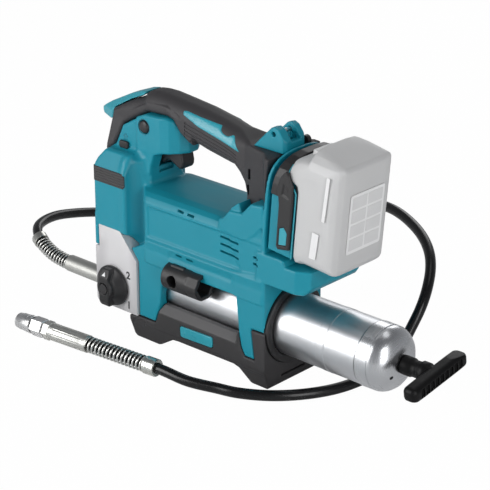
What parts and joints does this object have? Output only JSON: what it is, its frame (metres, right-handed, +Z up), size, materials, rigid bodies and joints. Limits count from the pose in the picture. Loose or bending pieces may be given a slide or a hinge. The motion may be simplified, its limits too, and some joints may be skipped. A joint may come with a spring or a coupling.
{
  "type": "cordless grease gun",
  "caption": "Battery grease gun: moulded housing with looped handle over a steel grease barrel, cast pump head, T-handle rod and a long hose ending in a coupler.",
  "frame": {"origin": "middle of the rear foot's underside, in the tool's middle plane", "axes": "+X along the barrel towards the T-handle, +Y towards the relief valve's side, +Z up"},
  "size_m": [0.5419, 0.321, 0.2386],
  "materials": {
    "teal_plastic": "fine moulded texture",
    "black_plastic": "satin moulded",
    "black_rubber": "soft overmoulded rubber",
    "hose_rubber": "smooth glossy cover",
    "cast_aluminium": "painted silver casting",
    "barrel_steel": "satin",
    "zinc_steel": "bright zinc plate",
    "brass": "turned",
    "pack_plastic": "moulded",
    "winding": "laminated core with enamelled winding"
  },
  "bodies": {
    "housing": {"housing_left": "teal_plastic", "housing_right": "teal_plastic", "housing_screw_1": "zinc_steel", "housing_screw_2": "zinc_steel", "housing_screw_3": "zinc_steel", "housing_screw_4": "zinc_steel", "pump_head": "cast_aluminium", "relief_valve": "brass", "check_spring": "zinc_steel", "handle_grip": "black_rubber", "grip_insert_left": "teal_plastic", "grip_insert_right": "teal_plastic", "nose_cap": "teal_plastic", "switch_body": "black_plastic", "front_bumper": "black_rubber", "base_bumper": "black_rubber", "base_inset_left": "teal_plastic", "base_inset_right": "teal_plastic", "barrel_ring": "black_plastic", "coupler_holder": "black_plastic", "strap_eye": "teal_plastic", "strap_pin": "zinc_steel", "battery_holder": "teal_plastic", "battery_guard": "black_rubber", "terminal_block": "black_plastic", "motor_can": "zinc_steel", "armature_bearing": "zinc_steel", "gear_case": "cast_aluminium", "crank_bearing": "zinc_steel", "hose_fixed": "hose_rubber", "hose_inlet_ferrule": "zinc_steel", "inlet_spring_guard": "zinc_steel", "inlet_guard_collar": "zinc_steel"},
    "trigger": {"trigger": "black_plastic"},
    "lock_button": {"lock_button": "black_plastic"},
    "lock_slider": {"lock_slider": "black_plastic"},
    "dial": {"speed_dial": "black_plastic", "dial_screw": "zinc_steel"},
    "barrel": {"barrel_tube": "barrel_steel", "barrel_end_cap": "barrel_steel", "follower_spring": "zinc_steel"},
    "follower": {"follower": "zinc_steel", "follower_seal": "black_rubber"},
    "rod": {"piston_rod": "zinc_steel", "t_handle": "black_plastic"},
    "battery": {"battery_shell": "pack_plastic"},
    "battery_button": {"battery_button": "pack_plastic"},
    "rotor": {"armature": "winding", "cooling_fan": "black_plastic"},
    "crank": {"reduction_gear": "zinc_steel", "crankshaft": "zinc_steel"},
    "plunger": {"crank_yoke": "zinc_steel", "plunger": "zinc_steel"},
    "check_ball": {"check_ball": "zinc_steel"},
    "hose_end": {"hose_free": "hose_rubber", "outlet_guard_collar": "zinc_steel", "outlet_spring_guard": "zinc_steel", "hose_outlet_ferrule": "zinc_steel", "coupler_body": "zinc_steel"},
    "coupler_sleeve": {"coupler_sleeve": "zinc_steel"}
  },
  "joints": [
    {"name": "trigger_pull", "type": "hinge", "parent": "housing", "child": "trigger", "pos_m": [-0.14, 0, 0.181], "axis": [0, -1, 0], "range_deg": [0, 8], "stiffness_Nm_per_rad": 0.3},
    {"name": "lock_button_push", "type": "slide", "parent": "housing", "child": "lock_button", "axis": [0, 1, 0], "range_m": [0, 0.003]},
    {"name": "lock_slider_move", "type": "slide", "parent": "housing", "child": "lock_slider", "axis": [0, 0, 1], "range_m": [0, 0.006]},
    {"name": "dial_turn", "type": "hinge", "parent": "housing", "child": "dial", "pos_m": [-0.1745, -0.0404, 0.049], "axis": [0, 1, 0], "range_deg": [0, 90]},
    {"name": "barrel_out", "type": "slide", "parent": "housing", "child": "barrel", "axis": [1, 0, 0], "range_m": [0, 0.18]},
    {"name": "follower_travel", "type": "slide", "parent": "barrel", "child": "follower", "axis": [1, 0, 0], "range_m": [0, 0.19], "stiffness_N_per_m": 30, "deforming": ["follower_spring"]},
    {"name": "handle_latch", "type": "hinge", "parent": "follower", "child": "rod", "pos_m": [0.15, 0, 0.056], "axis": [1, 0, 0], "range_deg": [0, 90]},
    {"name": "battery_lift", "type": "slide", "parent": "housing", "child": "battery", "axis": [0.0872, 0, 0.9962], "range_m": [0, 0.1]},
    {"name": "battery_release", "type": "slide", "parent": "battery", "child": "battery_button", "axis": [-0.0872, 0, -0.9962], "range_m": [0, 0.0025], "stiffness_N_per_m": 80},
    {"name": "rotor_spin", "type": "hinge", "parent": "housing", "child": "rotor", "pos_m": [-0.046, 0, 0.117], "axis": [1, 0, 0], "continuous": true},
    {"name": "crank_spin", "type": "hinge", "parent": "housing", "child": "crank", "pos_m": [-0.151, 0, 0.138], "axis": [1, 0, 0], "continuous": true},
    {"name": "plunger_stroke", "type": "slide", "parent": "housing", "child": "plunger", "axis": [0, 0, 1], "range_m": [0, 0.016]},
    {"name": "check_valve", "type": "slide", "parent": "housing", "child": "check_ball", "axis": [-1, 0, 0], "range_m": [0, 0.0012], "stiffness_N_per_m": 50, "deforming": ["check_spring"]},
    {"name": "hose_swing", "type": "hinge", "parent": "housing", "child": "hose_end", "pos_m": [0.0006, -0.061, 0.0053], "axis": [0, 0, 1], "range_deg": [-12, 12]},
    {"name": "sleeve_turn", "type": "hinge", "parent": "hose_end", "child": "coupler_sleeve", "pos_m": [-0.22697, -0.09418, 0.0096], "axis": [-0.9958, -0.092, 0], "range_deg": [0, 180]}
  ],
  "couplings": [
    {"joint": "crank_spin", "follows": "rotor_spin", "ratio": -0.23529}
  ]
}
